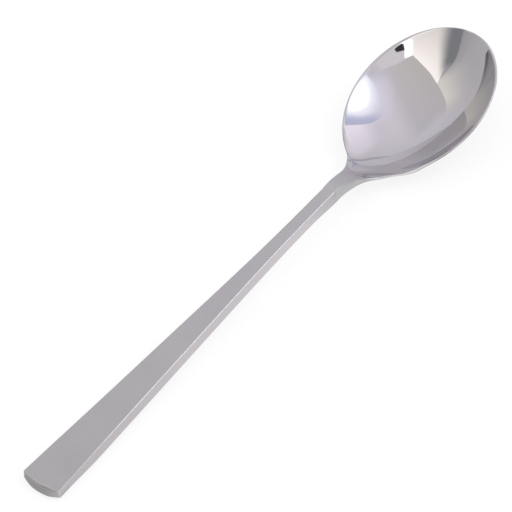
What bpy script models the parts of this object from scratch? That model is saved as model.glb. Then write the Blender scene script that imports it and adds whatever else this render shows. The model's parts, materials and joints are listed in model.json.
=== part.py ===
"""Soup spoon with a hollow handle: a pressed bowl whose tang sits between two welded handle shells.

Lengths are in metres and +Z is up. Each piece is modelled in the spoon's own frame, in which x runs from the
butt of the handle to the tip of the bowl and z = 0 is the flat top of the handle. The finished spoon is then
laid down: its bowl and its butt touch z = 0, and the origin lies below the middle of its length.
"""

import math

import bmesh
import bpy

MM = 0.001

# Handle: a flat-topped box section that tapers from the butt towards the bowl
HANDLE_LENGTH = 131.0 * MM  # butt to the weld at the neck
BUTT_WIDTH = 13.2 * MM  # flat top at the butt
NECK_WIDTH = 4.2 * MM  # flat top where the taper has run out
TAPER_LENGTH = 105.0 * MM  # butt to the place where the taper runs out
TAPER_EASE = 7.5 * MM  # length over which the taper eases into the neck
HANDLE_THICKNESS = 3.4 * MM
SIDE_DRAFT = 0.3 * MM  # how far each side wall leans out at the underside
NECK_SWELL = 0.5 * MM  # how much further it leans out at the neck
SWELL_LENGTH = 12.0 * MM  # length of the handle over which the underside swells, up to the weld
BUTT_RISE = 1.4 * MM  # rise of the shallow arc across the butt
BUTT_CORNER_RADIUS = 1.6 * MM
EDGE_RADIUS = 0.4 * MM  # along the upper and lower edges of the handle
SHELL_WALL = 0.6 * MM
WELD_GAP = 0.3 * MM  # between pieces, where the real welds are

# Tang of the bowl, inside the neck end of the handle
TANG_LENGTH = 20.0 * MM
TANG_ROOT = 3.0 * MM  # how far the tang reaches into the solid neck
TANG_TIP_CHAMFER = 0.4 * MM

# Neck: it dips from the handle to the back of the bowl and widens into the rim
NECK_LENGTH = 18.3 * MM  # weld to the back end of the bowl's oval
NECK_DIP = 6.2 * MM  # lowest place of the rim, below the handle's top
DIP_LENGTH = 21.0 * MM  # weld to the lowest place of the rim
RIM_RUN_OUT = 7.0 * MM  # lowest place of the rim to the start of its plane
FLARE_WIDTH = 10.0 * MM  # how much each side of the neck widens in its flare
FLARE_PLACE = 16.9 * MM  # weld to the middle of the flare
FLARE_EASE = 4.0 * MM  # smaller is a more sudden flare
FLARE_POWER = 6.0  # how closely the outline keeps to the wider one of flare and oval
THROAT_START = 11.2 * MM  # weld to the middle of the crease where the hollow starts
CREASE_BOW = 4.5 * MM  # how far ahead of its middle the crease ends at the rim
THINNING_START = 3.0 * MM  # weld to the place where the neck starts to get thinner
THINNING_END = 16.0 * MM  # weld to the place where it is as thin as the bowl
NECK_WALL_SHARE = 0.85  # upright part of the neck's sides, as a share of its thickness

# Bowl: an oval pressing with a flat ground rim
BOWL_LENGTH = 55.4 * MM
BOWL_WIDTH = 43.6 * MM
BOWL_DEPTH = 10.2 * MM  # middle of the oval, below the plane of the rim
BOWL_WALL = 1.2 * MM
BOWL_PITCH = math.radians(12.7)  # tip of the rim up, from the handle's top
RIM_HEIGHT = 0.1 * MM  # middle of the rim, above the handle's top
RIM_LAND = 0.5 * MM  # width of the ground rim
RIM_EDGE = 0.7 * MM  # height of the rim's outer edge
CREASE_SLOPE = -0.8  # slope of the hollow's floor at the crease
TIP_SLOPE = 1.25  # slope of the hollow's floor at the tip
SIDE_FULLNESS = 0.05  # 0 is a parabola across the hollow, more has a flatter floor and steeper sides

# Fineness of the meshes
SIDE_STEPS = 16
CORNER_STEPS = 4
BUTT_STEPS = 10
EDGE_SEGMENTS = 2
NECK_ROWS = 9
BOWL_ROWS = 36
BOWL_COLUMNS = 26
TIP_ANGLE = math.radians(4.0)  # where the last row lies, round the end of the tip
SMOOTH_ANGLE = math.radians(30.0)

# Places along the spoon that follow from the sizes above
NECK_START = HANDLE_LENGTH + WELD_GAP
CREASE = NECK_START + THROAT_START
CREASE_END = CREASE + CREASE_BOW
BOWL_BACK = NECK_START + NECK_LENGTH
BOWL_CENTRE = BOWL_BACK + BOWL_LENGTH / 2
BOWL_TIP = BOWL_BACK + BOWL_LENGTH
RIM_LOWEST = NECK_START + DIP_LENGTH


def clear_scene():
    for old in list(bpy.data.objects):
        bpy.data.objects.remove(old, do_unlink=True)


def steel(name, colour, roughness):
    material = bpy.data.materials.new(name)
    material.use_nodes = True
    shader = material.node_tree.nodes["Principled BSDF"]
    shader.inputs["Base Color"].default_value = (*colour, 1.0)
    shader.inputs["Metallic"].default_value = 1.0
    shader.inputs["Roughness"].default_value = roughness
    return material


def mesh_object(name, bm, material=None):
    bmesh.ops.recalc_face_normals(bm, faces=bm.faces)
    mesh = bpy.data.meshes.new(name)
    bm.to_mesh(mesh)
    bm.free()
    mesh.shade_smooth()
    mesh.set_sharp_from_angle(angle=SMOOTH_ANGLE)
    if material:
        mesh.materials.append(material)
    piece = bpy.data.objects.new(name, mesh)
    bpy.context.collection.objects.link(piece)
    return piece


def apply_tool(piece, tool, operation):
    """Cuts a tool from a piece, or joins it to the piece, and keeps the tool hidden."""
    tool.hide_render = True
    tool.display_type = "WIRE"
    boolean = piece.modifiers.new(tool.name, "BOOLEAN")
    boolean.operation = operation
    boolean.solver = "EXACT"
    boolean.object = tool


def ease(t):
    """Smooth step from 0 to 1 that starts and ends without a change in curvature."""
    t = min(max(t, 0.0), 1.0)
    return t**3 * (10.0 + t * (6.0 * t - 15.0))


def mix(start, end, share):
    return start + (end - start) * share


def handle_half_width(x):
    """Half of the flat top's width: a straight taper that eases into the neck."""
    left_over = math.log1p(math.exp((TAPER_LENGTH - x) / TAPER_EASE)) * TAPER_EASE
    return mix(NECK_WIDTH, BUTT_WIDTH, left_over / TAPER_LENGTH) / 2


def draft_at(x, z):
    """How far the drafted side walls stand out from the top's outline at a place on the handle."""
    swelling = ease((x - HANDLE_LENGTH + SWELL_LENGTH) / SWELL_LENGTH)
    return mix(SIDE_DRAFT, SIDE_DRAFT + NECK_SWELL, swelling) * -z / HANDLE_THICKNESS


def handle_outline(z, inset, front):
    """Plan of the handle at a height, less an inset, from the +y front round the butt to the -y front."""
    offset = draft_at(0.0, z) - inset
    radius = max(BUTT_CORNER_RADIUS + offset, SHELL_WALL / 2)
    half = handle_half_width(BUTT_RISE + BUTT_CORNER_RADIUS) + offset
    centre_y = half - radius
    tilt = math.atan(2 * BUTT_RISE * centre_y / half**2)
    join_y = centre_y + radius * math.sin(tilt)
    centre_x = BUTT_RISE * (join_y / half) ** 2 - offset + radius * math.cos(tilt)
    quarter = []
    for step in range(SIDE_STEPS):
        x = mix(front, centre_x, step / SIDE_STEPS)
        quarter.append((x, handle_half_width(min(x, HANDLE_LENGTH)) + draft_at(x, z) - inset))
    for step in range(CORNER_STEPS + 1):
        turn = (math.pi / 2 - tilt) * step / CORNER_STEPS
        quarter.append((centre_x - radius * math.sin(turn), centre_y + radius * math.cos(turn)))
    butt = []
    for step in range(1, BUTT_STEPS):
        y = mix(join_y, -join_y, step / BUTT_STEPS)
        butt.append((BUTT_RISE * (y / half) ** 2 - offset, y))
    return quarter + butt + [(x, -y) for x, y in reversed(quarter)]


def prism(levels):
    """Closed solid through outlines with as many points each, given as (outline, height)."""
    bm = bmesh.new()
    loops = [[bm.verts.new((x, y, z)) for x, y in outline] for outline, z in levels]
    for lower, upper in zip(loops, loops[1:]):
        for i in range(len(lower)):
            bm.faces.new((lower[i - 1], lower[i], upper[i], upper[i - 1]))
    bm.faces.new(loops[0])
    bm.faces.new(loops[-1])
    return bm


def handle_shell(name, seam, face, material):
    """One half of the hollow handle: a drafted tray from the seam to its outer face, open to the neck."""
    outward = math.copysign(1.0, face - seam)
    bm = prism([(handle_outline(z, 0.0, HANDLE_LENGTH), z) for z in (seam, face)])
    rounded = []
    for edge in bm.edges:
        on_face = all(abs(vert.co.z - face) < SHELL_WALL / 2 for vert in edge.verts)
        at_front = all(vert.co.x > HANDLE_LENGTH - SHELL_WALL / 2 for vert in edge.verts)
        if on_face and not at_front:
            rounded.append(edge)
    bmesh.ops.bevel(bm, geom=rounded, offset=EDGE_RADIUS, segments=EDGE_SEGMENTS, profile=0.5, affect="EDGES")
    shell = mesh_object(name, bm, material)

    floor = face - outward * SHELL_WALL
    past_seam = seam - outward * HANDLE_THICKNESS
    past_front = HANDLE_LENGTH + NECK_WIDTH
    levels = [(handle_outline(z, SHELL_WALL, past_front), z) for z in (past_seam, floor)]
    cavity = mesh_object(name + "_cavity", prism(levels))
    apply_tool(shell, cavity, "DIFFERENCE")
    return shell, cavity


def rim_plane(x):
    return RIM_HEIGHT + math.tan(BOWL_PITCH) * (x - BOWL_CENTRE)


def rim_height(x):
    """Height of the neck's top and of the rim: a dip from the weld, then the pitched plane of the rim."""
    dip = -NECK_DIP * ease((x - NECK_START) / DIP_LENGTH)
    return mix(dip, rim_plane(x), ease((x - RIM_LOWEST) / RIM_RUN_OUT))


def flare(x):
    """Half width of the neck: it widens in an S curve, which fades out inside the oval."""
    start = 1.0 / (1.0 + math.exp(FLARE_PLACE / FLARE_EASE))
    wide = 1.0 / (1.0 + math.exp((FLARE_PLACE + NECK_START - x) / FLARE_EASE))
    fade = ease((x - RIM_LOWEST) / (BOWL_CENTRE - RIM_LOWEST))
    return (NECK_WIDTH / 2 + FLARE_WIDTH * (wide - start)) * (1.0 - fade)


def half_width(x, inset):
    """Half of the width of the neck and bowl at x, inside an inset: the oval with the flare blended in."""
    along = (x - BOWL_CENTRE) / (BOWL_LENGTH / 2 - inset)
    oval = (BOWL_WIDTH / 2 - inset) * math.sqrt(max(0.0, 1.0 - along**2))
    neck = max(0.0, flare(x) - inset)
    return (oval**FLARE_POWER + neck**FLARE_POWER) ** (1.0 / FLARE_POWER)


def floor_curve(x, lift):
    """Quartic from the crease to the tip with the slopes that are set there, lifted in its middle."""
    end = BOWL_TIP - RIM_LAND
    span = end - CREASE
    t = (x - CREASE) / span
    level = mix(rim_height(CREASE), rim_height(end), t * t * (3.0 - 2.0 * t))
    slopes = span * t * (1.0 - t) * (CREASE_SLOPE * (1.0 - t) - TIP_SLOPE * t)
    return level + slopes + lift * (t * (1.0 - t)) ** 2


def floor_height(x):
    """Height of the top on the middle line: the neck's top, then the floor of the hollow."""
    if x <= CREASE:
        return rim_height(x)
    centre = (BOWL_CENTRE - CREASE) / (BOWL_TIP - RIM_LAND - CREASE)
    miss = rim_plane(BOWL_CENTRE) - BOWL_DEPTH - floor_curve(BOWL_CENTRE, 0.0)
    return floor_curve(x, miss / (centre * (1.0 - centre)) ** 2)


def thinned(x):
    """How far the neck has thinned down to the sheet of the bowl, from 0 to 1."""
    return ease((x - NECK_START - THINNING_START) / (THINNING_END - THINNING_START))


def row_bow(x):
    """How far the middle of a row lies behind its ends at x: straight at the weld, fullest at the crease."""
    if x < CREASE_END:
        return CREASE_BOW * ease((x - NECK_START) / (CREASE_END - NECK_START))
    return CREASE_BOW * (1.0 - ease((x - CREASE_END) / (BOWL_CENTRE - CREASE_END)))


def stations(inset):
    """Places of the rows from the weld to the tip of an outline inside an inset."""
    neck = [mix(NECK_START, CREASE_END, step / NECK_ROWS) for step in range(NECK_ROWS)]
    bowl = []
    for step in range(BOWL_ROWS + 1):
        turn = (math.pi - TIP_ANGLE) * step / BOWL_ROWS
        bowl.append(mix(CREASE_END, BOWL_TIP - inset, (1.0 - math.cos(turn)) / 2))
    return neck + bowl


def row(x, half, bow, edge, middle):
    """Points across a row, which sags from the height of its edges to that of its middle."""
    points = []
    for column in range(BOWL_COLUMNS + 1):
        across = 2.0 * column / BOWL_COLUMNS - 1.0
        rise = mix(across**2, across**4, SIDE_FULLNESS)
        points.append((x - bow * (1.0 - across**2), half * across, mix(middle, edge, rise)))
    return points


def top_row(x):
    """Row of the neck's top and of the hollow."""
    bow = row_bow(x)
    return row(x, half_width(x, RIM_LAND), bow, rim_height(x), floor_height(x - bow))


def under_row(x):
    """Row of the neck's underside and of the bowl's outside."""
    share = thinned(x)
    half = half_width(x, 0.0) + mix(SIDE_DRAFT + NECK_SWELL, 0.0, share)
    edge = rim_height(x) - mix(HANDLE_THICKNESS * NECK_WALL_SHARE, RIM_EDGE, share)
    middle = floor_height(x) - mix(HANDLE_THICKNESS, BOWL_WALL, share)
    return row(x, half, 0.0, edge, min(middle, edge))


def rim_row(x):
    """Row along the outer edge of the ground rim, of which only the last one is used across."""
    return row(x, half_width(x, 0.0), 0.0, rim_height(x), rim_height(x))


def strip(bm, first, second):
    """Faces between two runs of vertices."""
    for i in range(len(first) - 1):
        bm.faces.new((first[i], first[i + 1], second[i + 1], second[i]))


def rim_run(grid):
    """What lies along the edge of a grid: one side, round the tip, and back along the other side."""
    return [line[0] for line in grid] + grid[-1][1:-1] + [line[-1] for line in reversed(grid)]


def bowl_shell(name, material):
    """Bowl and neck between an upper and an under surface, joined by the ground rim and its edge."""
    bm = bmesh.new()
    top = [[bm.verts.new(point) for point in top_row(x)] for x in stations(RIM_LAND)]
    under = [[bm.verts.new(point) for point in under_row(x)] for x in stations(0.0)]
    rim_rows = [rim_row(x) for x in stations(0.0)]
    rim = [bm.verts.new(point) for point in rim_run(rim_rows)]
    for grid in (top, under):
        for first, second in zip(grid, grid[1:]):
            strip(bm, first, second)
    strip(bm, rim_run(top), rim)
    strip(bm, rim, rim_run(under))
    bm.faces.new([rim[0]] + top[0] + [rim[-1]] + under[0][::-1])
    return mesh_object(name, bm, material)


def tang(name):
    """Square bar, chamfered at its free end, that fits in the handle with a gap all round."""
    inset = SHELL_WALL + WELD_GAP
    half = NECK_WIDTH / 2 - inset
    bm = bmesh.new()
    bmesh.ops.create_cube(bm, size=1.0)
    for vert in bm.verts:
        vert.co.x = NECK_START + (TANG_ROOT if vert.co.x > 0 else -TANG_LENGTH)
        vert.co.y = math.copysign(half, vert.co.y)
        vert.co.z = -inset if vert.co.z > 0 else inset - HANDLE_THICKNESS
    free_end = [edge for edge in bm.edges if all(vert.co.x < NECK_START for vert in edge.verts)]
    bmesh.ops.bevel(bm, geom=free_end, offset=TANG_TIP_CHAMFER, segments=1, affect="EDGES")
    return mesh_object(name, bm)


def points_of(piece):
    """Corners of a piece with its modifiers, in the spoon's own frame."""
    bpy.context.view_layer.update()
    evaluated = piece.evaluated_get(bpy.context.evaluated_depsgraph_get())
    mesh = evaluated.to_mesh()
    corners = [vert.co.copy() for vert in mesh.vertices]
    evaluated.to_mesh_clear()
    return corners


def lowest(corners, pitch):
    return min(corner.x * math.sin(pitch) + corner.z * math.cos(pitch) for corner in corners)


def lay_down(pieces, tools, bowl, butt):
    """Pitches the spoon until its bowl and its butt are equally low, and rests them on z = 0."""
    bowl_corners = points_of(bowl)
    butt_corners = points_of(butt)
    flat, steep = 0.0, math.radians(30.0)
    for _ in range(50):
        pitch = (flat + steep) / 2
        if lowest(bowl_corners, pitch) < lowest(butt_corners, pitch):
            flat = pitch
        else:
            steep = pitch
    corners = [corner for piece in pieces for corner in points_of(piece)]
    along = [corner.x * math.cos(pitch) - corner.z * math.sin(pitch) for corner in corners]
    rest = bpy.data.objects.new("spoon_rest", None)
    bpy.context.collection.objects.link(rest)
    rest.rotation_euler = (0.0, -pitch, 0.0)
    rest.location = (-(min(along) + max(along)) / 2, 0.0, -lowest(corners, pitch))
    for piece in pieces + tools:
        piece.parent = rest
    bpy.context.view_layer.update()
    print("rest pitch in degrees:", round(math.degrees(pitch), 3))


def main():
    clear_scene()
    polished = steel("polished_steel", (0.80, 0.79, 0.80), 0.08)
    satin = steel("satin_steel", (0.66, 0.65, 0.67), 0.32)
    middle = -HANDLE_THICKNESS / 2
    upper, upper_cavity = handle_shell("handle_upper_shell", middle + WELD_GAP / 2, 0.0, satin)
    lower, lower_cavity = handle_shell("handle_lower_shell", middle - WELD_GAP / 2, -HANDLE_THICKNESS, satin)
    bowl = bowl_shell("bowl", polished)
    bowl_tang = tang("bowl_tang")
    apply_tool(bowl, bowl_tang, "UNION")
    lay_down([upper, lower, bowl], [upper_cavity, lower_cavity, bowl_tang], bowl, lower)


main()
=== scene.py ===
# %% [markdown]
# # A polished soup spoon
# The spoon is a pressed bowl with a neck, held between the two shells of a hollow handle. All of it is stainless
# steel: the bowl is polished like a mirror and the handle has a soft satin finish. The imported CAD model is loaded
# first as a fixed frame. Each of its three solids is then replaced by a finer piece at the same place.

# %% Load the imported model
import json
import math

import bpy
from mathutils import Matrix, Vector
from mathutils.geometry import interpolate_bezier


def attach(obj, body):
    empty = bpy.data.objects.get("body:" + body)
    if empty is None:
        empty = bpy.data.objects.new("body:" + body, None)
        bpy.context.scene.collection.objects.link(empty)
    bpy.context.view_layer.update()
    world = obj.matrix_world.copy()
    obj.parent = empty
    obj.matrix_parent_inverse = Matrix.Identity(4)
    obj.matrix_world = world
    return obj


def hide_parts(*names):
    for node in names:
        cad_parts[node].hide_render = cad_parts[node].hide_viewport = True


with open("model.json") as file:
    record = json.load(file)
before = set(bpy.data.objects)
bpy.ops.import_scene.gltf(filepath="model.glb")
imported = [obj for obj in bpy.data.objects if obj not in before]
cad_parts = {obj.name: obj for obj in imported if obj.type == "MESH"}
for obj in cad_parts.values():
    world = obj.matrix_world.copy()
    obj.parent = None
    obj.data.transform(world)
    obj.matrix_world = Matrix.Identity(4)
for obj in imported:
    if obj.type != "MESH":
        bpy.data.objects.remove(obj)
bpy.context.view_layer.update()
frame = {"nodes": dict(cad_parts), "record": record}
MM = 0.001
print("CAD nodes:", sorted(frame["nodes"]))

# %% [markdown]
# The spoon lies on its bowl and its butt, so its flat handle slopes a little. It is easier to model with the top of
# the handle level and to lay the finished piece down afterwards. The record's mount on the handle's top gives the
# slope and the place, so no number has to be fitted by eye.

# %% Find the level of the handle
MOUNT_PLACE = 50.0 * MM  # the mount's distance from the butt

mount = next(item for item in frame["record"]["mounts"] if item["name"] == "handle_top")
pitch = math.asin(-mount["axis"][0])
butt_place = Vector(mount["pos_m"]) - MOUNT_PLACE * Vector((math.cos(pitch), 0.0, math.sin(pitch)))
print("handle slopes by", round(math.degrees(pitch), 3), "degrees from", [round(v, 5) for v in butt_place])

# %% [markdown]
# The camera stands to the right of the handle and looks down on the spoon from some distance, with a long lens and a
# slight roll, so that the spoon runs corner to corner. Its place and lens were found by fitting the outline.

# %% Set up the camera
CAMERA_PLACE = (-0.37152, -0.34491, 0.49312)
CAMERA_TURN = (46.0, 5.007, -51.486)  # degrees
SENSOR_WIDTH = 36.0  # millimetres, as the lens
LENS = 169.74

camera = bpy.data.objects.new("photo_camera", bpy.data.cameras.new("photo_camera"))
bpy.context.collection.objects.link(camera)
camera.location = CAMERA_PLACE
camera.rotation_euler = [math.radians(turn) for turn in CAMERA_TURN]
camera.data.sensor_width = SENSOR_WIDTH
camera.data.lens = LENS
bpy.context.scene.camera = camera
bpy.context.scene.view_settings.view_transform = "Standard"
print("camera is", round(camera.location.length, 3), "m from the middle of the spoon")

# %% [markdown]
# An operator works on whatever is selected, so the first helpers leave exactly the wanted corners or edges selected,
# or only one piece. The others finish a piece: they apply a modifier, turn its faces outwards and shade it, and lay it
# down at its place in the frame.


# %% Helpers for selecting
def pick(piece, kind, test):
    """Selects the corners or edges that pass a test, and nothing else, and stays in edit mode."""
    bpy.ops.object.mode_set(mode="EDIT")
    bpy.ops.mesh.select_mode(type=kind)
    bpy.ops.mesh.select_all(action="DESELECT")
    bpy.ops.object.mode_set(mode="OBJECT")
    for item in {"VERT": piece.data.vertices, "EDGE": piece.data.edges}[kind]:
        item.select = bool(test(item))
    bpy.ops.object.mode_set(mode="EDIT")


def choose(piece, corners):
    """Selects the corners with these numbers."""
    wanted = set(corners)
    pick(piece, "VERT", lambda corner: corner.index in wanted)


def make_active(piece):
    """Leaves object mode with only this piece selected."""
    if bpy.context.object and bpy.context.object.mode != "OBJECT":
        bpy.ops.object.mode_set(mode="OBJECT")
    bpy.ops.object.select_all(action="DESELECT")
    piece.select_set(True)
    bpy.context.view_layer.objects.active = piece


print("selecting is ready")

# %% Helpers for finishing
SMOOTH_ANGLE = math.radians(35.0)


def apply_modifier(piece, kind, **settings):
    """Adds a modifier with its settings and applies it."""
    make_active(piece)
    modifier = piece.modifiers.new(kind.lower(), kind)
    for setting, value in settings.items():
        setattr(modifier, setting, value)
    bpy.ops.object.modifier_apply(modifier=modifier.name)


def turn_out(piece):
    """Turns all faces of a piece in edit mode outwards, and shades it smooth apart from its sharp edges."""
    bpy.ops.mesh.select_all(action="SELECT")
    bpy.ops.mesh.normals_make_consistent(inside=False)
    make_active(piece)
    bpy.ops.object.shade_smooth_by_angle(angle=SMOOTH_ANGLE)


def lay_down(piece):
    """Turns a piece that was modelled level to the slope of the resting spoon, and applies that."""
    make_active(piece)
    piece.rotation_euler = (0.0, -pitch, 0.0)
    piece.location = butt_place
    bpy.ops.object.transform_apply(location=True, rotation=True, scale=True)


print("finishing is ready")

# %% [markdown]
# The edges and widths of the spoon go over into one another without a jump. All of them use the same two functions: a
# smooth step from 0 to 1, and a mix of two values by such a share.


# %% Smooth steps and mixes
def ease(t):
    """Step from 0 to 1 that starts and ends without a change in curvature."""
    t = min(max(t, 0.0), 1.0)
    return t**3 * (10.0 + t * (6.0 * t - 15.0))


def mix(start, end, share):
    return start + (end - start) * share


print("half of a smooth step:", ease(0.5))

# %% [markdown]
# Every surface of the spoon is a grid whose rows are all the same bent wire. A grid of two by two metres has its
# rows along x and its columns along y. Moving each column once bends every row to the wire. Each row is then resized
# and moved to its place on the spoon, as a maker bends one template and fits it along the work.


# %% A grid whose rows are bent to one wire
def bent_grid(name, row_count, column_count, bend):
    """Adds the grid and moves each column by bend(column, y). Returns it, the rows' x, and the corners by row."""
    bpy.ops.object.select_all(action="DESELECT")
    bpy.ops.mesh.primitive_grid_add(x_subdivisions=row_count - 1, y_subdivisions=column_count - 1, size=2.0)
    piece = bpy.context.object
    piece.name = name
    piece.data.name = name
    numbers = {(round(v.co.x, 5), round(v.co.y, 5)): v.index for v in piece.data.vertices}
    places = sorted({x for x, y in numbers})
    columns = sorted({y for x, y in numbers})
    net = [[numbers[x, y] for y in columns] for x in places]
    for column, y in enumerate(columns):
        choose(piece, [row[column] for row in net])
        bpy.ops.transform.translate(value=bend(column, y))
    bpy.ops.object.mode_set(mode="OBJECT")
    return piece, places, net


print("grids are ready")

# %% [markdown]
# ## The handle's shells
# A hollow handle is two trays, pressed from sheet, that meet rim to rim and are welded and polished flush. A box with
# bevelled edges could give such a tray, but the real edge isn't equally round everywhere: the upper one is finest at
# the corners of the butt, and the lower one has been polished round there. So a wire in the shape of the tray's wall
# is led round the outline instead, from the neck along one side, round the butt and back along the other side.

# %% Sizes of the handle
HANDLE_LENGTH = 131.3 * MM
BUTT_WIDTH = 13.2 * MM
NECK_WIDTH = 4.2 * MM
TAPER_LENGTH = 105.0 * MM
TAPER_EASE = 7.5 * MM
THICKNESS = 3.4 * MM
SEAM = -THICKNESS / 2
SIDE_DRAFT = 0.3 * MM
NECK_SWELL = 0.5 * MM
SWELL_LENGTH = 12.3 * MM
BUTT_RISE = 1.4 * MM
CORNER_RADIUS = 0.8 * MM
EDGE_RADIUS = 0.4 * MM
SHELL_WALL = 0.6 * MM
SLOPE_STEP = 0.1 * MM  # over which a slope is measured


def handle_half_width(x):
    """Half of the flat top's width: a straight taper that eases into the neck."""
    left_over = math.log1p(math.exp((TAPER_LENGTH - x) / TAPER_EASE)) * TAPER_EASE
    return mix(NECK_WIDTH, BUTT_WIDTH, left_over / TAPER_LENGTH) / 2


def side_angle(x):
    """Direction that the left side faces, seen from above."""
    slope = (handle_half_width(x + SLOPE_STEP) - handle_half_width(x - SLOPE_STEP)) / (2 * SLOPE_STEP)
    return math.atan2(1.0, -slope)


def draft(x, z):
    """How far the side walls lean out at a height: a little all along, and more where they meet the neck."""
    swelling = ease((x - HANDLE_LENGTH + SWELL_LENGTH) / SWELL_LENGTH)
    return (SIDE_DRAFT + NECK_SWELL * swelling) * -z / THICKNESS


print("handle is", round(handle_half_width(0.0) * 2 / MM, 2), "mm wide at the butt")

# %% [markdown]
# The butt is a shallow arc. Between it and each side lies a rounded corner: an arc that touches both. Its centre is
# as far from the side as from the butt, and is found by halving the range in which it must lie.

# %% Path round the outline
# millimetres from the butt
SIDE_PLACES = [131.3, 129.5, 127.0, 124.0, 120.5, 116.5, 112.0, 107.0, 102.0, 96.0, 88.0, 78.0, 65.0, 50.0, 37.0]
BUTT_PLACES = [28.0, 21.0, 16.0, 12.0, 9.0, 6.8, 5.2, 4.0]
CORNER_STEPS = 8
BUTT_STEPS = 7
HALVINGS = 40


def butt_point(y):
    """Point of the butt's arc, and the direction that the butt faces there."""
    half = handle_half_width(0.0)
    return Vector((BUTT_RISE * (y / half) ** 2, y)), math.atan2(2 * BUTT_RISE * y / half**2, -1.0)


def corner_centre(y):
    point, angle = butt_point(y)
    return point - CORNER_RADIUS * Vector((math.cos(angle), math.sin(angle)))


def left_outline():
    """Stations from the neck along the left side to the middle of the butt: place and direction."""
    low, high = 0.0, handle_half_width(0.0)
    for _ in range(HALVINGS):
        middle = (low + high) / 2
        centre = corner_centre(middle)
        room = (handle_half_width(centre.x) - centre.y) * math.sin(side_angle(centre.x)) - CORNER_RADIUS
        low, high = (middle, high) if room > 0.0 else (low, middle)
    centre = corner_centre(low)
    first, last = side_angle(centre.x), butt_point(low)[1]
    places = [x * MM for x in SIDE_PLACES + BUTT_PLACES]
    path = [(Vector((x, handle_half_width(x))), side_angle(x)) for x in places]
    for step in range(CORNER_STEPS + 1):
        angle = mix(first, last, step / CORNER_STEPS)
        path.append((centre + CORNER_RADIUS * Vector((math.cos(angle), math.sin(angle))), angle))
    return path + [butt_point(mix(low, 0.0, (step + 1) / BUTT_STEPS)) for step in range(BUTT_STEPS)]


left = left_outline()
right = [(Vector((point.x, -point.y)), -angle) for point, angle in reversed(left[:-1])]
outline = left + right
print("outline has", len(outline), "stations")

# %% [markdown]
# The upper edge is finest at the corners of the butt, and the lower edge is roundest there. A bevel could be weighted
# edge by edge, but here each station of the path simply gets a radius of its own.

# %% Radii of the edges
# on the sides, at the corners, along the butt, and how far the corners reach along the sides
UPPER_RADII = (EDGE_RADIUS, 0.15 * MM, 1.2 * MM, 36.0 * MM)
LOWER_RADII = (EDGE_RADIUS, 1.5 * MM, 0.7 * MM, 16.0 * MM)
CORNER_END = 3.0 * MM  # where the sides leave the corners of the butt
BUTT_EASE = 1.6  # how fast the corner's radius goes over into the butt's


def edge_radius(point, angle, side, corner, butt, reach):
    """Radius between wall and flat face: on the sides, at the corners within this reach, and along the butt."""
    faces_sideways = abs(math.cos(angle)) < 0.5
    if faces_sideways:
        return mix(corner, side, ease((point.x - CORNER_END) / reach))
    return mix(corner, butt, ease(BUTT_EASE * (1.0 - abs(point.y) / handle_half_width(0.0))))


for edge, radii in (("upper", UPPER_RADII), ("lower", LOWER_RADII)):
    along = [round(edge_radius(point, angle, *radii) / MM, 2) for point, angle in left]
    print(edge, "edge has radii from", min(along), "to", max(along), "mm")

# %% [markdown]
# The wire has the inner corner of the tray, both edges of its rim at the seam, and an arc of one millimetre radius
# for the edge between wall and flat face. At each station the arc is resized to the radius wanted there, the wall
# gets its draft, and the whole wire is turned to face outwards and moved to its place.

# %% Lead the wire round the outline
RIM_COLUMNS = 3  # the inner corner and both edges of the rim
ARC_STEPS = 7
QUARTER = math.radians(90.0)
INNER_SHARE = 0.35  # how far the inner corner gives way to a larger radius


def press_tray(name, face, down, radii):
    """A shell's walls and edges. The face lies at this height, and down is -1 where the tray opens downwards."""
    def bend(column, y):
        if column < RIM_COLUMNS:
            out = (-SHELL_WALL, -SHELL_WALL, 0.0)[column]
            height = (face + down * SHELL_WALL, SEAM, SEAM)[column]
        else:
            turn = QUARTER * (1.0 - (column - RIM_COLUMNS) / (ARC_STEPS - 1))
            out = (math.sin(turn) - 1.0) * MM
            height = face + down * (1.0 - math.cos(turn)) * MM
        return (0.0, out - y, height)

    tray, places, net = bent_grid(name, len(outline), RIM_COLUMNS + ARC_STEPS, bend)
    for place, row, (point, angle) in zip(places, net, outline):
        radius = edge_radius(point, angle, *radii)
        choose(tray, row[RIM_COLUMNS:])
        bpy.ops.transform.resize(value=(1.0, radius / MM, radius / MM), center_override=(place, 0.0, face))
        bpy.ops.transform.translate(value=(0.0, draft(point.x, face), 0.0))
        choose(tray, row[:1])
        inwards = -INNER_SHARE * (radius - EDGE_RADIUS)
        bpy.ops.transform.translate(value=(0.0, inwards, -down * inwards))
        choose(tray, row[1:RIM_COLUMNS])
        bpy.ops.transform.translate(value=(0.0, draft(point.x, SEAM), 0.0))
        choose(tray, row)
        bpy.ops.transform.rotate(value=QUARTER - angle, orient_axis="Z", center_override=(place, 0.0, 0.0))
        bpy.ops.transform.translate(value=(point.x - place, point.y, 0.0))
    bpy.ops.object.mode_set(mode="OBJECT")
    return tray, net


upper, upper_net = press_tray("handle_upper", 0.0, -1.0, UPPER_RADII)
lower, lower_net = press_tray("handle_lower", -THICKNESS, 1.0, LOWER_RADII)
for tray in (upper, lower):
    print(tray.name, "walls are", [round(v / MM, 2) for v in tray.dimensions], "mm")

# %% [markdown]
# Two flat faces close a tray, one outside and one inside, and a third is the end of its sheet at the neck. Each is one
# face on a closed ring of edges. Smooth shading with weighted normals keeps the big faces truly flat right up to
# their rounded edges.


# %% Close the trays and lay them down
def fill_column(tray, net, column):
    """Closes the ring that a column makes round the outline with an edge at the neck, and fills it."""
    choose(tray, (net[0][column], net[-1][column]))
    bpy.ops.mesh.edge_face_add()
    choose(tray, [row[column] for row in net])
    bpy.ops.mesh.edge_face_add()


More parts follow.
